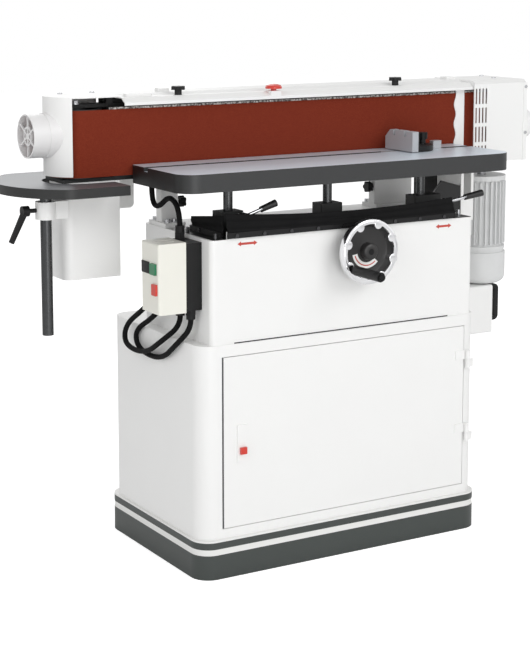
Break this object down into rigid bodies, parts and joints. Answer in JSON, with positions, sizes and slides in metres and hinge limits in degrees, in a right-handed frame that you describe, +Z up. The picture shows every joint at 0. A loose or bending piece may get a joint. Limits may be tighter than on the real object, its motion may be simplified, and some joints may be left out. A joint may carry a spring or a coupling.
{
  "type": "edge sander",
  "caption": "Floor-standing edge sander: upright belt on two drums over a cabinet, raising table, round end table, handwheel, motor, dust port and gauge.",
  "frame": {"origin": "centre of the plinth's underside, on the floor", "axes": "+X to the operator's right along the belt, +Y away from the operator, +Z up"},
  "size_m": [1.476, 0.6415, 1.114],
  "materials": {
    "white_paint": "satin white powder coat",
    "dark_paint": "dark green-grey enamel",
    "cast_table": "ground top, dark painted edge",
    "steel": "turned steel",
    "chrome": "plated",
    "belt_grit": "cloth-backed abrasive",
    "rubber": "matt black rubber",
    "black_plastic": "moulded black",
    "cream_plastic": "moulded cream",
    "white_plastic": "moulded white",
    "red_plastic": "gloss red",
    "green_plastic": "gloss green",
    "motor_grey": "light grey painted casting"
  },
  "bodies": {
    "base": {"plinth": "dark_paint", "cabinet_shell": "white_paint", "upper_housing": "white_paint", "post_guides": "cast_table", "lift_bearings": "steel", "rubber_skirt": "rubber", "skirt_strip": "black_plastic", "screws": "steel", "head_frame": "white_paint", "sanding_belt": "belt_grit", "platen": "steel", "top_cover": "white_paint", "rear_guard": "white_paint", "left_end_cover": "white_paint", "dust_port": "white_plastic", "right_cover": "white_paint", "scalloped_guard": "white_paint", "cover_fittings": "black_plastic", "head_brackets": "white_paint", "end_column": "white_paint", "motor_body": "motor_grey", "motor_fan_cover": "motor_grey", "motor_channel": "white_paint", "rear_box": "white_paint", "bridge_handle": "black_plastic", "switch_back": "black_plastic", "switch_cover": "cream_plastic", "cable_glands": "black_plastic", "head_cord": "rubber", "loop_cords": "rubber"},
    "table": {"main_table": "cast_table", "table_posts": "steel", "lift_beam": "cast_table"},
    "screw": {"lead_screw": "steel"},
    "wheel": {"handwheel": "chrome", "wheel_shaft": "steel"},
    "grip": {"handwheel_grip": "black_plastic"},
    "door": {"cabinet_door": "white_paint"},
    "latch": {"latch_turn": "red_plastic"},
    "lock_left": {"left_lever": "steel"},
    "lock_right": {"right_lever": "steel"},
    "knob_left": {"star_knob_left": "black_plastic"},
    "knob_right": {"star_knob_right": "black_plastic"},
    "clamp_left": {"left_bracket_knob": "black_plastic"},
    "clamp_right": {"right_bracket_knob": "black_plastic"},
    "estop": {"estop_button": "red_plastic"},
    "drive": {"drive_drum": "steel", "motor_shaft": "steel"},
    "idler": {"idler_drum": "steel"},
    "side_table": {"end_table": "cast_table", "end_table_post": "steel"},
    "ratchet": {"ratchet_lever": "steel"},
    "start": {"start_button": "green_plastic"},
    "stop": {"stop_button": "red_plastic"},
    "gauge": {"gauge_bar": "steel"},
    "gauge_swing": {"gauge_head": "black_plastic", "stop_plate": "steel"},
    "gauge_lock": {"gauge_knob": "black_plastic"}
  },
  "joints": [
    {"name": "table_lift", "type": "slide", "parent": "base", "child": "table", "axis": [0, 0, 1], "range_m": [-0.01, 0.1]},
    {"name": "screw_spin", "type": "hinge", "parent": "base", "child": "screw", "pos_m": [0.0335, -0.09, 0.6], "axis": [0, 0, 1], "range_deg": [-7210, 730]},
    {"name": "handwheel_spin", "type": "hinge", "parent": "base", "child": "wheel", "pos_m": [0.0335, -0.28, 0.7345], "axis": [0, 1, 0], "range_deg": [-730, 7210]},
    {"name": "grip_spin", "type": "hinge", "parent": "wheel", "child": "grip", "pos_m": [-0.01371, -0.34, 0.69589], "axis": [0, -1, 0], "continuous": true},
    {"name": "door_swing", "type": "hinge", "parent": "base", "child": "door", "pos_m": [0.356, -0.238, 0.3], "axis": [0, 0, 1], "range_deg": [0, 110]},
    {"name": "latch_turn", "type": "hinge", "parent": "door", "child": "latch", "pos_m": [-0.28225, -0.231, 0.294], "axis": [0, 1, 0], "range_deg": [-90, 0]},
    {"name": "left_lever_turn", "type": "hinge", "parent": "base", "child": "lock_left", "pos_m": [-0.258, -0.2, 0.828], "axis": [0, -1, 0], "range_deg": [-25, 12]},
    {"name": "right_lever_turn", "type": "hinge", "parent": "base", "child": "lock_right", "pos_m": [0.31, -0.2, 0.821], "axis": [0, -1, 0], "range_deg": [-28, 20]},
    {"name": "left_star_knob_turn", "type": "hinge", "parent": "base", "child": "knob_left", "pos_m": [-0.315, 0.007, 1.1], "axis": [0, 0, 1], "range_deg": [-180, 180]},
    {"name": "right_star_knob_turn", "type": "hinge", "parent": "base", "child": "knob_right", "pos_m": [0.301, 0.007, 1.1], "axis": [0, 0, 1], "range_deg": [-180, 180]},
    {"name": "left_bracket_knob_turn", "type": "hinge", "parent": "base", "child": "clamp_left", "pos_m": [-0.3, 0.036, 0.838], "axis": [1, 0, 0], "range_deg": [-180, 180]},
    {"name": "right_bracket_knob_turn", "type": "hinge", "parent": "base", "child": "clamp_right", "pos_m": [0.246, 0.032, 0.838], "axis": [1, 0, 0], "range_deg": [-180, 180]},
    {"name": "estop_press", "type": "slide", "parent": "base", "child": "estop", "axis": [0, 0, -1], "range_m": [0, 0.004], "stiffness_N_per_m": 1500},
    {"name": "drive_spin", "type": "hinge", "parent": "base", "child": "drive", "pos_m": [0.614, 0.0515, 0.9], "axis": [0, 0, 1], "continuous": true},
    {"name": "idler_spin", "type": "hinge", "parent": "base", "child": "idler", "pos_m": [-0.559, 0.0515, 0.99], "axis": [0, 0, 1], "continuous": true},
    {"name": "end_table_lift", "type": "slide", "parent": "base", "child": "side_table", "axis": [0, 0, 1], "range_m": [-0.0145, 0.05]},
    {"name": "ratchet_lever_turn", "type": "hinge", "parent": "base", "child": "ratchet", "pos_m": [-0.706, 0, 0.849], "axis": [1, 0, 0], "range_deg": [-80, 80]},
    {"name": "start_press", "type": "slide", "parent": "base", "child": "start", "axis": [1, 0, 0], "range_m": [0, 0.003], "stiffness_N_per_m": 800},
    {"name": "stop_press", "type": "slide", "parent": "base", "child": "stop", "axis": [1, 0, 0], "range_m": [0, 0.003], "stiffness_N_per_m": 800},
    {"name": "gauge_slide", "type": "slide", "parent": "table", "child": "gauge", "axis": [1, 0, 0], "range_m": [-0.55, 0.08]},
    {"name": "gauge_swivel", "type": "hinge", "parent": "gauge", "child": "gauge_swing", "pos_m": [0.284, -0.085, 0.945], "axis": [0, 0, 1], "range_deg": [-20, 20]},
    {"name": "gauge_knob_turn", "type": "hinge", "parent": "gauge", "child": "gauge_lock", "pos_m": [0.32, -0.085, 0.97], "axis": [0, 0, 1], "range_deg": [-180, 180]}
  ],
  "couplings": [
    {"joint": "screw_spin", "follows": "table_lift", "rad_per_m": -1256.6},
    {"joint": "handwheel_spin", "follows": "table_lift", "rad_per_m": 1256.6},
    {"joint": "idler_spin", "follows": "drive_spin", "ratio": 1}
  ]
}
